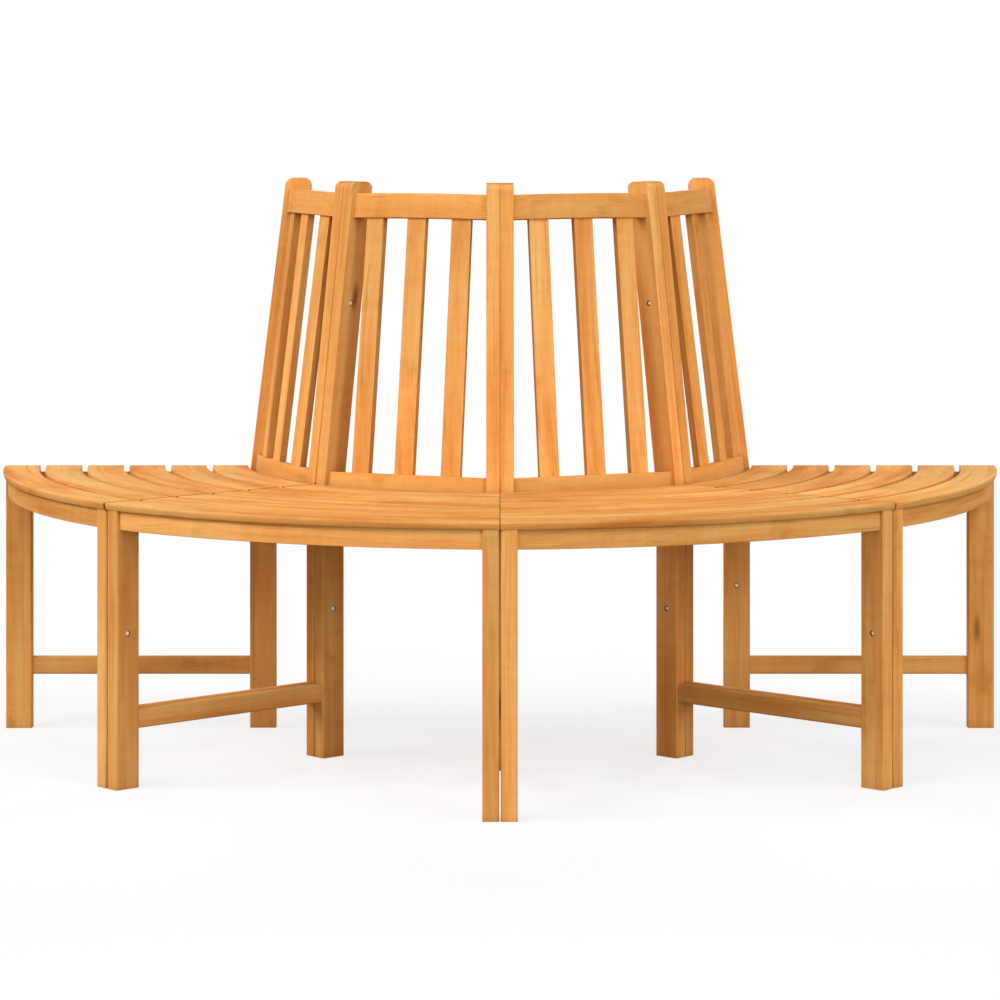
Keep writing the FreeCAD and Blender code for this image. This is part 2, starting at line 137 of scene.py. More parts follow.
# The shape of a nut. Its dome stands on a base.
NUT_BASE = 0.45 * BOLT_HEAD_HEIGHT
NUT_DOME = 0.44 * HEAD_FLATS
NUT_CHAMFER = 0.6          # its fall over its reach
NUT_DOME_TILTS = (25, 50, 72, 86)

# How far the grain strays from its board
GRAIN_SKEW = 0.02          # at most, per length
GRAIN_BOW = 0.03           # for the squared share of the length from the middle
WANDER_REACH = 0.020       # of the streaks, in the pattern itself

# How strong the wood's streaks are
SEAT_FIGURE = 0.85
RAIL_FIGURE = 0.35
APRON_FIGURE = 0.6
UPRIGHT_FIGURE = 0.6

# How much wider than usual the streaks of the seat's broad flat-sawn boards are
SEAT_STREAKS = 1.9

# How dark the painted shade makes the sides of back slats and posts beside their planed faces
SLAT_SIDE_SHADE = 0.70
POST_SIDE_SHADE = 0.86

# Wood colours, as seen on the page
PALE = (0.958, 0.750, 0.453)
HONEY = (0.943, 0.664, 0.358)
DEEP = (0.868, 0.548, 0.254)
FIGURE = (0.660, 0.390, 0.160)
KNOT = (0.430, 0.220, 0.090)
# Colours of painted shade: in narrow gaps and corners, and wider under and beside things
GAP_SHADE = (0.580, 0.455, 0.290)
WIDE_SHADE = (0.730, 0.668, 0.560)
END_GRAIN = (0.870, 0.780, 0.700)

# The noises of the wood: waves a metre across and along the grain, detail, roughness, and a
# shift that keeps them apart. A fade runs from its first number to its second, and gives its
# third and fourth there.
WANDER_NOISE = (5, 1.7, 1.0, 0.55, 3.7)
STREAK_NOISE = (42, 2.6, 4.0, 0.62, 11.3)
BROAD_NOISE = (11, 0.9, 2.0, 0.55, 23.1)
CLOUD_NOISE = (14, 12, 3.0, 0.6, 57.9)
CROSS_NOISE = (7, 95, 2.0, 0.6, 71.3)
LINE_NOISE = (150, 2.2, 2.0, 0.5, 31.9)
FIBRE_NOISE = (620, 11, 2.0, 0.6, 43.7)

# The colours that the streaks run through, and what the other noises multiply them by
STREAK_STOPS = (0.35, 0.49, 0.63)
BROAD_TINTS = ((0.34, (0.88, 0.85, 0.82)), (0.60, (1.00, 1.01, 1.02)))
CLOUD_TINTS = ((0.26, (0.86, 0.79, 0.72)), (0.42, (1.00, 1.00, 1.00)))
CROSS_TINTS = ((0.35, (0.965, 0.955, 0.945)), (0.60, (1.00, 1.00, 1.00)))
WIDE_TINTS = (
    (BROAD_NOISE, BROAD_TINTS),
    (CLOUD_NOISE, CLOUD_TINTS),
    (CROSS_NOISE, CROSS_TINTS),
)
FIBRE_TINTS = ((0.34, (0.80, 0.73, 0.66)), (0.56, (1.00, 1.00, 1.00)))
FIBRE_STRENGTH = 0.4
LINE_FADE = (0.27, 0.38, 0.5, 0.0)

# Knots: cells a metre across, through and along the grain, some of which hold a knot
KNOT_CELLS = (17, 17, 4.2)
PLAIN_CELLS = 0.84         # the share without one
KNOT_FADE = (0.04, 0.15, 0.8, 0.0)

# Painted shade in gaps, corners and under things: how near, and how it fades as a place opens up
OPENNESS_SAMPLES = 6
GAP_SHADE_REACH = 0.012
GAP_SHADE_FADE = (0.10, 0.51, 0.9, 0.0)
WIDE_SHADE_REACH = 0.045
WIDE_SHADE_FADE = (0.15, 0.68, 0.95, 0.0)

# Lines of painted shade where the bays of the slanting joints meet, wider and darker on the seat
SEAM_HALF_WIDTH = 0.0017
SEAM_CORE = 0.3 * SEAM_HALF_WIDTH
SEAM_STRENGTH = 0.35
SEAM_SEAT_REACH = 0.6 * SLAT_THICKNESS     # up and down from the middle of the slats
SEAT_SEAM_HALF_WIDTH = 0.0042
LEFT_SEAT_SEAM = 0.60      # on top of the strength elsewhere
RIGHT_SEAT_SEAM = 0.20

# The surface of the wood
FIBRE_ROUGHNESS = (0.3, 0.7, 0.82, 0.68)
STREAK_RELIEF = 0.6
RELIEF_STRENGTH = 0.35
RELIEF_HEIGHT = 0.0004
WOOD_SPECULAR = 0.05
END_GRAIN_FADE = (0.80, 0.95)       # over how squarely a face looks along the grain
SIDE_FADE = (0.70, 0.90)            # over how squarely it looks sideways
PLANK_REACH = 40           # how far apart in the wood two pieces may be cut
TONE_RANGE = (0.94, 1.03)

# Pieces that are darker or paler than the rest
OWN_TONES = {
    "top_rail_board_1": 1.13,
    "top_rail_board_2": 1.05,
    "top_rail_board_3": 0.90,
    "bottom_rail_board_1": 0.97,
    "bottom_rail_board_2": 0.97,
    "bottom_rail_board_3": 0.89,
    "apron_board_2": 1.14,
    "apron_board_3": 1.05,
    "front_leg_1": 0.95,
    "front_leg_3": 0.93,
    "front_leg_4": 0.92,
    "front_leg_7": 1.13,
    "front_leg_8": 1.05,
    "back_post_3": 0.93,
    "back_post_4": 1.01,
    "back_post_5": 1.01,
    "back_post_6": 1.05,
    "back_slat_2_1": 0.97,
    "back_slat_2_2": 0.97,
    "back_slat_2_3": 0.96,
    "stretcher_1": 1.05,
    "stretcher_8": 1.06,
}

# Zinc-plated steel
STEEL = (0.99, 0.94, 0.86)
STEEL_SHADE = 0.8          # of its darker clouds
STEEL_CLOUDS = 600.0       # a metre
STEEL_DETAIL = 3.0
STEEL_STOPS = (0.3, 0.7)
STEEL_ROUGHNESS = (0.45, 0.35)
STEEL_METALLIC = 0.15

# A ring of soft lamps: angle round the bench from the front, height angle, strength
LAMPS = (
    (0, 10, 0.255),
    (0, 45, 0.125),
    (-45, 45, 0.35),
    (45, 15, 0.195),
    (45, 45, 0.20),
    (-80, 30, 0.48),
    (80, 30, 0.18),
    (-150, 20, 0.28),
    (150, 20, 0.28),
)
LAMP_WIDTH = math.radians(25)

# The floor, which glows by what its shade lacks to white
FLOOR_SIZE = 60
FLOOR_DROP = 0.0005
FLOOR_SHADE = 0.25
FLOOR_GLOW = 0.735

# The camera. Its lens and sensor are in millimetres, its shift in widths of the picture.
CAMERA_DISTANCE = 5.70726
CAMERA_HEIGHT = 1.04146
CAMERA_LENS = 135.93
CAMERA_SENSOR = 36
CAMERA_SHIFT = -0.41848
CAMERA_SIGHT = 100

luck = random.Random(7)


# The plan of the bench

def post_face(height):
    """Distance of a post's outer face in its frame: upright below the slats, leaning above."""
    return POST_RADIUS - max(0.0, height - SLAT_UNDERSIDE) * math.tan(BACK_LEAN)


class Joint:
    """The upright plane between two bays: in plan, a line outwards from near the tree's axis."""

    def __init__(self, angle, fan, bolted):
        direction = math.radians(angle)
        self.bolted = bolted
        self.along = Vector((math.sin(direction), -math.cos(direction), 0))
        self.across = Vector((math.cos(direction), math.sin(direction), 0))
        self.start = Vector((0, -fan, 0))
        self.frame_zero = self.at_radius(POST_RADIUS) - self.along * POST_RADIUS

    def at_radius(self, radius, inset=0.0):
        """The point at this distance from the tree's axis, on the line moved sideways by inset."""
        foot = self.start + self.across * inset
        lead = foot.dot(self.along)
        travel = math.sqrt(radius ** 2 - foot.dot(foot) + lead ** 2) - lead
        return TREE_AXIS + foot + self.along * travel

    def frame_point(self, distance, inset):
        """A side frame's own distance and inset as a point in plan."""
        return self.frame_zero + self.along * distance + self.across * inset


JOINTS = (
    Joint(-90, 0.0, False),
    Joint(-SIDE_JOINT_ANGLE, SIDE_JOINT_FAN, True),
    Joint(0, 0.0, True),
    Joint(SIDE_JOINT_ANGLE, SIDE_JOINT_FAN, True),
    Joint(90, 0.0, False),
)


class Bay:
    """The part of the bench between two joints."""

    def __init__(self, left, right):
        self.left = left
        self.right = right
        self.chord = (right.at_radius(BENCH_RADIUS) - left.at_radius(BENCH_RADIUS)).normalized()

    def ends(self, radius, inset):
        """Both ends of an edge this far from the tree's axis, short of the joints by inset."""
        return self.left.at_radius(radius, inset), self.right.at_radius(radius, -inset)


BAYS = tuple(Bay(left, right) for left, right in zip(JOINTS[:-1], JOINTS[1:]))


# Boards with rounded edges

def swell(part, power):
    """A sine or cosine raised to a power, with its sign. A power above 1 flattens the curve."""
    return math.copysign(abs(part) ** power, part)


def rounded_section(width, height, edges, inset):
    """Points round a board's section, all of it shrunk by an inset.

    The edges are the lower and upper ones at the start of its width, then the upper and lower
    ones at the end. Each is rounded to a radius, or planed off slantwise as far across and up
    as a pair says.
    """
    corners = zip((0, 0, 1, 1), (0, 1, 1, 0), (270, 180, 90, 0), edges)
    points = []
    for inner, top, start, edge in corners:
        planed = isinstance(edge, tuple)
        power = PLANED_EDGE_POWER if planed else 1.0
        reaches = edge if planed else (edge, edge)
        wide, high = (max(reach - inset, LEAST_EDGE) for reach in reaches)
        across = width - inset - wide if inner else inset + wide
        up = height - inset - high if top else inset + high
        for step in range(CORNER_STEPS + 1):
            angle = math.radians(start - 90 * step / CORNER_STEPS)
            points.append((
                across + wide * swell(math.cos(angle), power),
                up + high * swell(math.sin(angle), power),
            ))
    return points


def stations(length, end_radius):
    """Shares of a board's length with the section's inset there, its two ends rounded."""
    rounding = []
    if end_radius:
        for step in range(CORNER_STEPS):
            angle = math.pi / 2 * step / CORNER_STEPS
            inset = end_radius * (1 - math.sin(angle))
            rounding.append((end_radius * (1 - math.cos(angle)) / length, inset))
    count = max(1, round(length / STATION_SPACING))
    start = end_radius / length
    middle = [(start + (1 - 2 * start) * i / count, 0.0) for i in range(count + 1)]
    return rounding + middle + [(1 - share, inset) for share, inset in reversed(rounding)]


def board(name, node, place, size, edges, end_radius):
    """A board swept along its length.

    place turns a share of the length and a point of the section to a point in space. The
    attribute "grain" holds each point's place in the wood: across, through and along the grain.
    """
    length, width, height = size
    rings = []
    grain = []
    skew = luck.uniform(-GRAIN_SKEW, GRAIN_SKEW)
    for share, inset in stations(length, end_radius):
        section = rounded_section(width, height, edges, inset)
        rings.append([place(share, across, up) for across, up in section])
        along = share * length
        drift = skew * along + GRAIN_BOW * (share - 0.5) ** 2
        for across, up in section:
            grain += (across + drift, up + drift, along)
    piece = stack(name, node, rings)
    lines = piece.data.attributes.new("grain", "FLOAT_VECTOR", "POINT")
    lines.data.foreach_set("vector", grain)
    return piece


def stack(name, node, rings):
    """A closed skin over rings of points, closed off at the first and last."""
    count = len(rings[0])
    points = [point for ring in rings for point in ring]
    faces = [tuple(range(count))[::-1], tuple(range(len(points) - count, len(points)))]
    for ring in range(len(rings) - 1):
        low = ring * count
        for i in range(count):
            j = (i + 1) % count
            faces.append((low + i, low + j, low + count + j, low + count + i))
    mesh = bpy.data.meshes.new(name)
    mesh.from_pydata(points, [], faces)
    mesh.validate()
    fix_normals(mesh)
    piece = bpy.data.objects.new(name, mesh)
    bpy.context.scene.collection.objects.link(piece)
    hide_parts(node)
    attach(piece, "root")
    return piece


def fix_normals(mesh):
    """Turns every face outwards and shades the long curves smoothly."""
    work = bmesh.new()
    work.from_mesh(mesh)
    bmesh.ops.recalc_face_normals(work, faces=work.faces)
    work.to_mesh(mesh)
    work.free()
    mesh.shade_smooth()
    mesh.set_sharp_from_angle(angle=SHARP_FROM)


def plan_arc(ends, radius):
    """A function along an arc in plan, from 0 at its left end to 1 at its right, and its length."""
    left, right = ends
    chord = (right - left).normalized()
    outwards = Vector((chord.y, -chord.x, 0))
    swing = math.asin((right - left).length / 2 / radius)
    centre = (left + right) / 2 - outwards * radius * math.cos(swing)

    def point(share):
        angle = (2 * share - 1) * swing
        return centre + (chord * math.sin(angle) + outwards * math.cos(angle)) * radius

    return point, 2 * swing * radius


def level_board(name, node, bay, radius, width, inset, bottom, height, edges, end_radius):
    """A level board between two arcs round the tree, with its ends parallel to the joints."""
    inner_radius = radius - width
    outer, outer_length = plan_arc(bay.ends(radius, inset), radius + ARC_FLATTENING)
    inner, inner_length = plan_arc(bay.ends(inner_radius, inset), inner_radius + ARC_FLATTENING)

    def place(share, across, up):
        point = outer(share).lerp(inner(share), across / width)
        return point + Vector((0, 0, bottom + up))

    length = (outer_length + inner_length) / 2
    return board(name, node, place, (length, width, height), edges, end_radius)


def seat_slats():
    """The seat's slats. Ring 1 is the rim, whose outer edge is planed off below."""
    for ring in range(1, SLAT_RINGS + 1):
        radius = BENCH_RADIUS - (ring - 1) * (SLAT_WIDTH + SLAT_GAP)
        rim = ring == 1
        end = RIM_END if rim else SLAT_END
        outer = (RIM_LOWER_EDGE, RIM_UPPER_EDGE) if rim else (SOFT_EDGE, SOFT_EDGE)
        edges = (*outer, SOFT_EDGE, SOFT_EDGE)
        for number, bay in enumerate(BAYS, start=1):
            slat = level_board(
                "seat_slat_%d_%d" % (ring, number), "seat_ring_%d" % ring, bay, radius,
                SLAT_WIDTH, SLAT_END_GAP, SLAT_UNDERSIDE, SLAT_THICKNESS, edges, end)
            dress(slat, bay.chord, SEAT_FIGURE, broad=SEAT_STREAKS)


def aprons():
    """The curved boards under the rim, between the front legs."""
    height = SLAT_UNDERSIDE - APRON_BOTTOM
    for number, bay in enumerate(BAYS, start=1):
        apron = level_board(
            "apron_board_%d" % number, "seat_apron_%d" % number, bay, APRON_RADIUS,
            APRON_THICKNESS, LEG_FACE - TENON_REACH, APRON_BOTTOM, height, (SOFT_EDGE,) * 4, 0.0)
        dress(apron, bay.chord, APRON_FIGURE)


class Rail:
    """A curved rail between the two posts of a bay, leaned back like them."""

    def __init__(self, bay, height):
        face = post_face(height) - RAIL_RECESS
        left = bay.left.frame_point(face, POST_THICKNESS)
        right = bay.right.frame_point(face, -POST_THICKNESS)
        chord = left - right
        self.half_width = chord.length / 2
        self.radius = face + ARC_FLATTENING
        self.centre = -math.sqrt(self.radius ** 2 - self.half_width ** 2)
        self.run = chord.normalized()
        outwards = Vector((-self.run.y, self.run.x, 0))
        up = Vector((0, 0, 1))
        up_lean = up * math.cos(BACK_LEAN) - outwards * math.sin(BACK_LEAN)
        out_lean = outwards * math.cos(BACK_LEAN) + up * math.sin(BACK_LEAN)
        turn = Matrix((self.run, out_lean, up_lean)).transposed().to_4x4()
        self.matrix = Matrix.Translation((left + right) / 2 + up * height) @ turn

    def at(self, angle, depth, height):
        """A point of the rail, at an angle about its arc's centre."""
        radius = self.radius - depth
        forwards = self.centre + radius * math.cos(angle)
        return self.matrix @ Vector((radius * math.sin(angle), forwards, height))

    def board(self, name, node):
        """The rail itself, which runs on into both posts."""
        half_angle = math.asin((self.half_width + TENON_REACH) / self.radius)

        def place(share, across, up):
            return self.at((1 - 2 * share) * half_angle, across, up - RAIL_HEIGHT)

        size = (2 * half_angle * self.radius, RAIL_THICKNESS, RAIL_HEIGHT)
        rail = board(name, node, place, size, (SOFT_EDGE,) * 4, 0.0)
        dress(rail, self.run, RAIL_FIGURE)

    def slat_end(self, i, gap, height):
        """The middle of back slat i's end, and the way the rail runs there."""
        reach = self.half_width - gap - BACK_SLAT_WIDTH / 2
        depth = RAIL_THICKNESS / 2
        angle = math.asin(reach * (1 - 2 * i / (BACK_SLATS - 1)) / (self.radius - depth))
        run = self.matrix.to_3x3() @ Vector((math.cos(angle), -math.sin(angle), 0))
        return self.at(angle, depth, height), run


def back_slat(name, node, bottom, top, i):
    """A straight slat between the two rails, tenoned into both."""
    foot, run = bottom.slat_end(i, BACK_SLAT_FOOT_GAP, 0.0)
    head, _ = top.slat_end(i, BACK_SLAT_HEAD_GAP, -RAIL_HEIGHT)
    rise = (head - foot).normalized()
    face = rise.cross(run)
    start = foot - rise * TENON_REACH
    length = (head - foot).length + 2 * TENON_REACH

    def place(share, across, up):
        sideways = run * (across - BACK_SLAT_WIDTH / 2) + face * (up - BACK_SLAT_THICKNESS / 2)
        return start + rise * share * length + sideways

    size = (length, BACK_SLAT_WIDTH, BACK_SLAT_THICKNESS)
    slat = board(name, node, place, size, (SOFT_EDGE,) * 4, 0.0)
    # Its sides get painted shade.
    dress(slat, rise, UPRIGHT_FIGURE, sawn=(run, SLAT_SIDE_SHADE))


def backs():
    """Both rails and the slats of every bay."""
    for number, bay in enumerate(BAYS, start=1):
        bottom = Rail(bay, SEAT_HEIGHT + BOTTOM_RAIL_RISE)
        top = Rail(bay, OVERALL_HEIGHT - TOP_RAIL_DROP)
        bottom.board("bottom_rail_board_%d" % number, "back_bottom_rail_%d" % number)
        top.board("top_rail_board_%d" % number, "back_top_rail_%d" % number)
        for i in range(BACK_SLATS):
            name = "back_slat_%d_%d" % (number, i + 1)
            back_slat(name, "back_slats_%d" % number, bottom, top, i)


# Bolts and nuts

def hexagon_radius(angle):
    """Distance from a hexagon's middle to its outline."""
    sixth = math.pi / 3
    return HEAD_FLATS / 2 / math.cos((angle + sixth / 2) % sixth - sixth / 2)


def round_step(radius, height):
    """A step of a profile that is the same all round."""
    return lambda angle: (radius, height)


def turned_piece(name, node, place, along, out, profile):
    """A steel piece round an axis. Its profile says the radius and height at each angle."""
    side = out.cross(along)
    rings = []
    for step in profile:
        ring = []
        for i in range(HEAD_SIDES):
            angle = 2 * math.pi * i / HEAD_SIDES
            radius, height = step(angle)
            spoke = along * math.cos(angle) + side * math.sin(angle)
            ring.append(place + out * height + spoke * radius)
        rings.append(ring)
    piece = stack(name, node, rings)
    piece.data.materials.append(STEEL_LOOK)


def bolt_head(name, place, along, out):
    """A hexagon head whose corners are turned down, with a slightly domed top."""
    dome = [(share * HEAD_FLATS, BOLT_HEAD_HEIGHT - drop) for share, drop in HEAD_DOME]
    flat, shoulder_height = dome[0]

    def shoulder(angle):
        radius = hexagon_radius(angle)
        return radius, shoulder_height - (radius - flat) * math.tan(HEAD_CHAMFER)

    profile = [lambda angle: (hexagon_radius(angle), 0.0), shoulder]
    profile += [round_step(radius, height) for radius, height in dome]
    turned_piece(name, "joint_bolts", place, along, out, profile)


def dome_nut(name, place, along, out):
    """A closed nut with a domed end."""

    def shoulder(angle):
        radius = hexagon_radius(angle)
        return radius, NUT_BASE - (radius - NUT_DOME) * NUT_CHAMFER

    profile = [
        lambda angle: (hexagon_radius(angle), 0.0),
        shoulder,
        round_step(NUT_DOME, NUT_BASE),
    ]
    for step in NUT_DOME_TILTS:
        tilt = math.radians(step)
        height = NUT_BASE + (BOLT_HEAD_HEIGHT - NUT_BASE) * math.sin(tilt)
        profile.append(round_step(NUT_DOME * math.cos(tilt), height))
    turned_piece(name, "joint_cap_nuts", place, along, out, profile)


def fastenings():
    """The heads and nuts of every bolt, in their pockets.

    The right end frame has one short bolt.
    """
    leg = LEG_RADIUS - LEG_WIDTH / 2
    post_bolt_heights = (LOWER_BOLT_HEIGHT, OVERALL_HEIGHT - UPPER_BOLT_DROP)
    places = [(leg, LOWER_BOLT_HEIGHT, LEG_FACE)]
    places += [(post_face(z) - POST_WIDTH / 2, z, POST_THICKNESS) for z in post_bolt_heights]
    count = 0
    for joint in JOINTS:
        if not joint.bolted:
            continue
        for distance, height, face in places:
            count += 1
            up = Vector((0, 0, height))
            seat = face - POCKET_DEPTH
            head_place = joint.frame_point(distance, seat) + up
            nut_place = joint.frame_point(distance, -seat) + up
            bolt_head("bolt_%d" % count, head_place, joint.along, joint.across)
            dome_nut("cap_nut_%d" % count, nut_place, joint.along, -joint.across)
    last = JOINTS[-1]
    place = last.frame_point(POST_RADIUS - POST_WIDTH / 2, POCKET_DEPTH - POST_THICKNESS)
    place = place + Vector((0, 0, LOWER_BOLT_HEIGHT))
    bolt_head("bolt_%d" % (count + 1), place, last.along, -last.across)


# Materials

def linear(colour):
    """A colour as the page shows it, as the light it gives back."""
    return tuple(
        part / 12.92 if part <= 0.04045 else ((part + 0.055) / 1.055) ** 2.4
        for part in colour
    )


class Shading:
    """Short calls that add nodes to a shader tree."""

    def __init__(self, tree):
        self.tree = tree
        tree.nodes.clear()

    def add(self, kind, inputs, output=0, **settings):
        """Adds a node and gives one of its outputs. Its inputs are values or other outputs."""
        node = self.tree.nodes.new(kind)
        for key, value in settings.items():
            setattr(node, key, value)
        for key, value in inputs.items():
            if isinstance(value, bpy.types.NodeSocket):
                self.tree.links.new(value, node.inputs[key])
            else:
                node.inputs[key].default_value = value
        return node.outputs[output]

    def calc(self, operation, *values):
        return self.add("ShaderNodeMath", dict(enumerate(values)), operation=operation)

    def vector(self, operation, *values, output=0):
        inputs = dict(enumerate(values))
        return self.add("ShaderNodeVectorMath", inputs, output, operation=operation)

    def dot(self, first, second):
        """The dot product of a vector output and a fixed vector."""
        return self.vector("DOT_PRODUCT", first, tuple(second), output="Value")

    def scaled(self, vector, scale):
        inputs = {0: vector, "Scale": scale}
        return self.add("ShaderNodeVectorMath", inputs, operation="SCALE")

    def fade(self, value, low, high, first=0.0, last=1.0):
        """A value that goes smoothly from first to last while the input goes from low to high."""
        return self.add(
            "ShaderNodeMapRange",
            {"Value": value, "From Min": low, "From Max": high, "To Min": first, "To Max": last},
            interpolation_type="SMOOTHSTEP")

    def mix(self, blend, factor, first, second):
        """Two colours mixed."""
        inputs = {0: factor, 6: first, 7: second}
        return self.add("ShaderNodeMix", inputs, 2, data_type="RGBA", blend_type=blend)

    def stain_and_shade(self, strength, colour, tint):
        """A colour multiplied by a tint, as far as a strength says. It serves the end grain and
        painted shade.
        """
        return self.mix("MULTIPLY", strength, colour, (*linear(tint), 1))

    def noise(self, place, across, along, detail, rough, shift):
        """Noise with waves of different lengths across and along the grain."""
        waves = (across, across, along)
        stretched = self.vector("MULTIPLY_ADD", place, waves, (shift, shift, shift))
        return self.add(
            "ShaderNodeTexNoise",
            {"Vector": stretched, "Scale": 1.0, "Detail": detail, "Roughness": rough})

    def openness(self, reach):
        """How open a place is: 1 where no other surface is within reach."""
        return self.add(
            "ShaderNodeAmbientOcclusion", {"Distance": reach}, "AO", samples=OPENNESS_SAMPLES)

    def ramp(self, value, stops):
        """Colours at their positions, and those between."""
        node = self.tree.nodes.new("ShaderNodeValToRGB")
        band = node.color_ramp
        while len(band.elements) < len(stops):
            band.elements.new(0.5)
        for element, (position, colour) in zip(band.elements, stops):
            element.position = position
            element.color = (*colour, 1)
        self.tree.links.new(value, node.inputs[0])
        return node.outputs[0]

    def end(self, kind, shader):
        """Closes the tree with its output node."""
        self.tree.links.new(shader, self.tree.nodes.new(kind).inputs[0])


def new_material(name):
    """An empty material, and the calls that fill it."""
    material = bpy.data.materials.new(name)
    material.use_nodes = True
    return material, Shading(material.node_tree)


def wandering(shade, place):
    """A place in the wood moved a little across the grain, so that the streaks wander."""
    wander = shade.calc("SUBTRACT", shade.noise(place, *WANDER_NOISE), 0.5)
    sway = shade.calc("MULTIPLY", wander, WANDER_REACH)
    swayed = shade.add("ShaderNodeCombineXYZ", {"X": sway, "Y": sway, "Z": 0.0})
    return shade.vector("ADD", place, swayed)


def streaked_colour(shade, place, figure, streak, fibre):
    """The colour of clean wood: streaks, broad bands, clouds, cross bands, lines and fibres."""
    swing = shade.calc("SUBTRACT", streak, 0.5)
    figured = shade.calc("MULTIPLY_ADD", swing, figure, 0.5)
    wood_colours = [linear(colour) for colour in (DEEP, HONEY, PALE)]
    colour = shade.ramp(figured, tuple(zip(STREAK_STOPS, wood_colours)))
    for waves, tints in WIDE_TINTS:
        colour = shade.mix("MULTIPLY", 1.0, colour, shade.ramp(shade.noise(place, *waves), tints))
    lines = shade.fade(shade.noise(place, *LINE_NOISE), *LINE_FADE)
    lines = shade.calc("MULTIPLY", lines, figure)
    colour = shade.mix("MIX", lines, colour, (*linear(FIGURE), 1))
    return shade.mix("MULTIPLY", FIBRE_STRENGTH, colour, shade.ramp(fibre, FIBRE_TINTS))


def with_knots(shade, colour, place):
    """A colour with a knot in the middle of a few cells."""
    cells = shade.vector("MULTIPLY", place, KNOT_CELLS)
    distance = shade.add("ShaderNodeTexVoronoi", {"Vector": cells, "Scale": 1.0}, "Distance")
    chance = shade.add("ShaderNodeSeparateColor", {0: distance.node.outputs["Color"]})
    chosen = shade.calc("GREATER_THAN", chance, PLAIN_CELLS)
    knots = shade.calc("MULTIPLY", shade.fade(distance, *KNOT_FADE), chosen)
    return shade.mix("MIX", knots, colour, (*linear(KNOT), 1))


def with_painted_shade(shade, colour):
    """A colour with painted shade near other surfaces: in gaps, corners and under things."""
    for reach, fade, tint in ((GAP_SHADE_REACH, GAP_SHADE_FADE, GAP_SHADE), (WIDE_SHADE_REACH, WIDE_SHADE_FADE, WIDE_SHADE)):
        colour = shade.stain_and_shade(shade.fade(shade.openness(reach), *fade), colour, tint)
    return colour


def with_seams(shade, colour):
    """A colour with a line of painted shade along each slanting joint."""
    here = shade.add("ShaderNodeTexCoord", {}, "Object")
    rise = shade.add("ShaderNodeSeparateXYZ", {0: here}, "Z")
    seat_middle = (SLAT_UNDERSIDE + SEAT_HEIGHT) / 2
    on_seat = shade.calc("COMPARE", rise, seat_middle, SEAM_SEAT_REACH)
    extra_width = SEAT_SEAM_HALF_WIDTH - SEAM_HALF_WIDTH
    half_width = shade.calc("MULTIPLY_ADD", on_seat, extra_width, SEAM_HALF_WIDTH)
    for joint, extra in ((JOINTS[1], LEFT_SEAT_SEAM), (JOINTS[3], RIGHT_SEAT_SEAM)):
        offset = shade.vector("SUBTRACT", here, tuple(TREE_AXIS + joint.start))
        distance = shade.calc("ABSOLUTE", shade.dot(offset, joint.across))
        strength = shade.calc("MULTIPLY_ADD", on_seat, extra, SEAM_STRENGTH)
        seam = shade.fade(distance, SEAM_CORE, half_width, strength, 0.0)
        colour = shade.stain_and_shade(seam, colour, GAP_SHADE)
    return colour


def make_wood_pattern():
    """The pattern of oiled hardwood, from a place in it: across, through and along the grain."""
    group = bpy.data.node_groups.new("oiled_wood", "ShaderNodeTree")
    sockets = (
        ("Place", "INPUT", "Vector"),
        ("End Grain", "INPUT", "Float"),
        ("Tone", "INPUT", "Float"),
        ("Figure", "INPUT", "Float"),
        ("Color", "OUTPUT", "Color"),
        ("Roughness", "OUTPUT", "Float"),
        ("Height", "OUTPUT", "Float"),
    )
    for name, in_out, kind in sockets:
        group.interface.new_socket(name, in_out=in_out, socket_type="NodeSocket" + kind)
    shade = Shading(group)
    given = group.nodes.new("NodeGroupInput").outputs
    result = group.nodes.new("NodeGroupOutput").inputs

    place = wandering(shade, given["Place"])
    streak = shade.noise(place, *STREAK_NOISE)
    fibre = shade.noise(place, *FIBRE_NOISE)
    colour = streaked_colour(shade, place, given["Figure"], streak, fibre)
    colour = with_knots(shade, colour, given["Place"])
    colour = shade.stain_and_shade(given["End Grain"], colour, END_GRAIN)
    colour = shade.scaled(colour, given["Tone"])
    # Painted shade in gaps, corners and under things, and along the slanting joints
    colour = with_seams(shade, with_painted_shade(shade, colour))

    group.links.new(colour, result["Color"])
    group.links.new(shade.fade(fibre, *FIBRE_ROUGHNESS), result["Roughness"])
    group.links.new(shade.calc("MULTIPLY_ADD", streak, STREAK_RELIEF, fibre), result["Height"])
    return group


def straight_grain(shade, along, across, bend):
    """A place in the wood of one of the model's pieces, whose grain is straight.

    The grain of a piece that has a bend turns with the lean of the back, away from the bend.
    """
    here = shade.add("ShaderNodeTexCoord", {}, "Object")
    if bend:
        rise = shade.add("ShaderNodeSeparateXYZ", {0: here}, "Z")
        above = shade.calc("MAXIMUM", shade.calc("SUBTRACT", rise, SLAT_UNDERSIDE), 0.0)
        lean = tuple(part * math.tan(BACK_LEAN) for part in bend)
        here = shade.vector("ADD", here, shade.scaled(lean, above))
    parts = [shade.dot(here, axis) for axis in (across, along.cross(across), along)]
    return shade.add("ShaderNodeCombineXYZ", dict(enumerate(parts)))


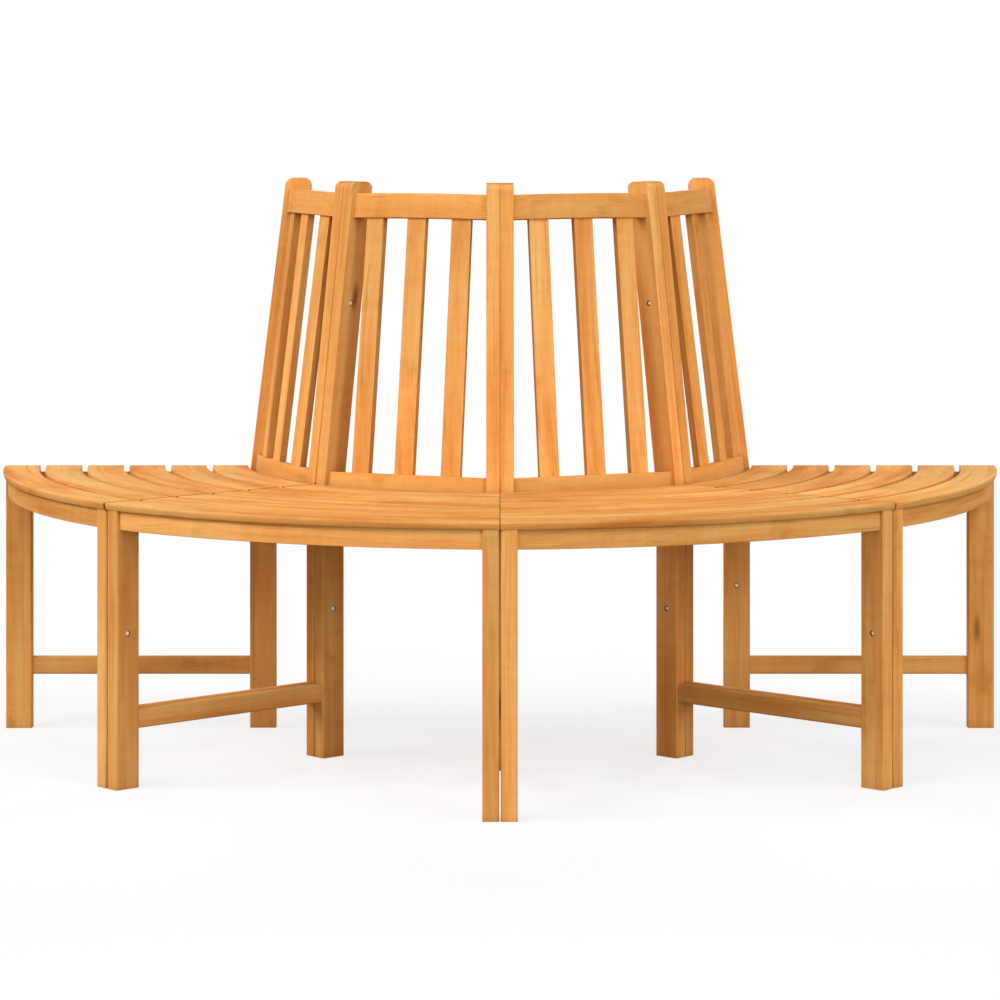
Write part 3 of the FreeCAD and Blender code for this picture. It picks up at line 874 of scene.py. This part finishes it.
def wood(name, along, figure, broad=1.0, across=None, bend=None, sawn=None):
    """Oiled hardwood for one piece, cut from its own place in the plank.

    A board brings its own grain. A piece of the model has an across, and straight grain. The
    streaks are figure times as strong and broad times as wide as usual. A direction and a shade
    may be given for the sides: faces that look that way, or the other, get painted shade, darker
    by that shade.
    """
    material, shade = new_material("wood_" + name)
    if across:
        place = straight_grain(shade, along, across, bend)
    else:
        place = shade.add("ShaderNodeAttribute", {}, "Vector", attribute_name="grain")
    start = tuple(luck.uniform(-PLANK_REACH, PLANK_REACH) for _ in range(3))
    place = shade.vector("MULTIPLY_ADD", place, (1 / broad, 1 / broad, 1.0), start)
    normal = shade.add("ShaderNodeNewGeometry", {}, "Normal")
    end_facing = shade.calc("ABSOLUTE", shade.dot(normal, along))
    tone = luck.uniform(*TONE_RANGE) * OWN_TONES.get(name, 1.0)
    # Painted shade: faces that look sideways, either way, are darker by the sides' shade.
    if sawn:
        side_way, side_shade = sawn
        side_facing = shade.calc("ABSOLUTE", shade.dot(normal, side_way))
        tone = shade.fade(side_facing, *SIDE_FADE, tone, tone * side_shade)
    colour = shade.add("ShaderNodeGroup", {
        "Place": place,
        "End Grain": shade.fade(end_facing, *END_GRAIN_FADE),
        "Tone": tone,
        "Figure": figure,
    }, "Color", node_tree=WOOD_PATTERN)
    pattern = colour.node.outputs
    relief = shade.add("ShaderNodeBump", {
        "Height": pattern["Height"],
        "Strength": RELIEF_STRENGTH,
        "Distance": RELIEF_HEIGHT,
    })
    shader = shade.add("ShaderNodeBsdfPrincipled", {
        "Base Color": colour,
        "Roughness": pattern["Roughness"],
        "Normal": relief,
        "Specular IOR Level": WOOD_SPECULAR,
    })
    shade.end("ShaderNodeOutputMaterial", shader)
    return material


def dress(piece, along, figure, **cut):
    """Gives a piece its own wood."""
    piece.data.materials.clear()
    piece.data.materials.append(wood(piece.name, along, figure, **cut))


def dress_frames():
    """Gives the legs, posts, bearers and stretchers of the model their wood."""
    up = Vector((0, 0, 1))
    for number in range(1, 2 * len(BAYS) + 1):
        joint = JOINTS[number // 2]
        # Painted shade on the posts' sides at the bolted joints
        post_shaded_sides = (joint.across, POST_SIDE_SHADE) if joint.bolted else None
        cuts = {
            "front_leg": (up, {"across": joint.along}),
            "back_post": (up, {"across": joint.along, "bend": joint.along, "sawn": post_shaded_sides}),
            "seat_bearer": (joint.along, {"across": up}),
            "stretcher": (joint.along, {"across": up}),
        }
        for kind, (along, cut) in cuts.items():
            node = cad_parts["%s_%d" % (kind, number)]
            dress(node, along, UPRIGHT_FIGURE, **cut)


def make_steel():
    """Zinc-plated steel, a little uneven."""
    material, shade = new_material("zinc_plated_steel")
    here = shade.add("ShaderNodeTexCoord", {}, "Object")
    cloud = shade.add(
        "ShaderNodeTexNoise", {"Vector": here, "Scale": STEEL_CLOUDS, "Detail": STEEL_DETAIL})
    bright = linear(STEEL)
    dark = tuple(part * STEEL_SHADE for part in bright)
    shader = shade.add("ShaderNodeBsdfPrincipled", {
        "Base Color": shade.ramp(cloud, tuple(zip(STEEL_STOPS, (dark, bright)))),
        "Metallic": STEEL_METALLIC,
        "Roughness": shade.fade(cloud, *STEEL_STOPS, *STEEL_ROUGHNESS),
    })
    shade.end("ShaderNodeOutputMaterial", shader)
    return material


# Studio

def seen_ray(shade, strength):
    """The strength for rays that see the page: straight, or by a reflection or through glass."""
    ray = shade.tree.nodes.new("ShaderNodeLightPath").outputs
    seen = shade.calc("MAXIMUM", ray["Is Camera Ray"], ray["Is Glossy Ray"])
    seen = shade.calc("MAXIMUM", seen, ray["Is Transmission Ray"])
    return shade.calc("MULTIPLY", seen, strength)


def make_ground():
    """A pale floor, white to the camera apart from the bench's soft shadow."""
    bpy.ops.mesh.primitive_plane_add(size=FLOOR_SIZE, location=(0, 0, -FLOOR_DROP))
    floor = bpy.context.object
    floor.name = "floor"
    material, shade = new_material("white_floor")
    matt = shade.add("ShaderNodeBsdfDiffuse", {"Color": (FLOOR_SHADE, FLOOR_SHADE, FLOOR_SHADE, 1)})
    page = shade.add("ShaderNodeEmission", {"Strength": seen_ray(shade, FLOOR_GLOW)})
    both = shade.add("ShaderNodeAddShader", {0: matt, 1: page})
    shade.end("ShaderNodeOutputMaterial", both)
    floor.data.materials.append(material)


def make_world():
    """White where it is seen, and dark to the light that reaches the bench."""
    world = bpy.data.worlds.new("studio")
    bpy.context.scene.world = world
    world.use_nodes = True
    shade = Shading(world.node_tree)
    page = shade.add(
        "ShaderNodeBackground", {"Color": (1, 1, 1, 1), "Strength": seen_ray(shade, 1.0)})
    shade.end("ShaderNodeOutputWorld", page)


def lamp(turn, height, strength):
    """A broad soft lamp far off, at an angle round the bench from the front and a height angle."""
    light = bpy.data.lights.new("lamp", "SUN")
    light.energy = math.pi * strength
    light.angle = LAMP_WIDTH
    lamp_object = bpy.data.objects.new("lamp", light)
    bpy.context.scene.collection.objects.link(lamp_object)
    turn = math.radians(turn)
    height = math.radians(height)
    level = math.cos(height)
    towards = Vector((math.sin(turn) * level, -math.cos(turn) * level, math.sin(height)))
    lamp_object.rotation_euler = towards.to_track_quat("Z", "Y").to_euler()


def make_camera():
    """A level camera whose shift brings the bench into the frame, as in the photograph."""
    camera = bpy.data.cameras.new("camera")
    camera.sensor_width = CAMERA_SENSOR
    camera.lens = CAMERA_LENS
    camera.shift_y = CAMERA_SHIFT
    camera.clip_end = CAMERA_SIGHT
    camera_object = bpy.data.objects.new("camera", camera)
    bpy.context.scene.collection.objects.link(camera_object)
    camera_object.location = (0, -CAMERA_DISTANCE, CAMERA_HEIGHT)
    camera_object.rotation_euler = (math.pi / 2, 0, 0)
    bpy.context.scene.camera = camera_object


bpy.context.scene.view_settings.view_transform = "Standard"
WOOD_PATTERN = make_wood_pattern()
STEEL_LOOK = make_steel()
seat_slats()
aprons()
backs()
dress_frames()
fastenings()
make_ground()
make_world()
for turn, height, strength in LAMPS:
    lamp(turn, height, strength)
make_camera()
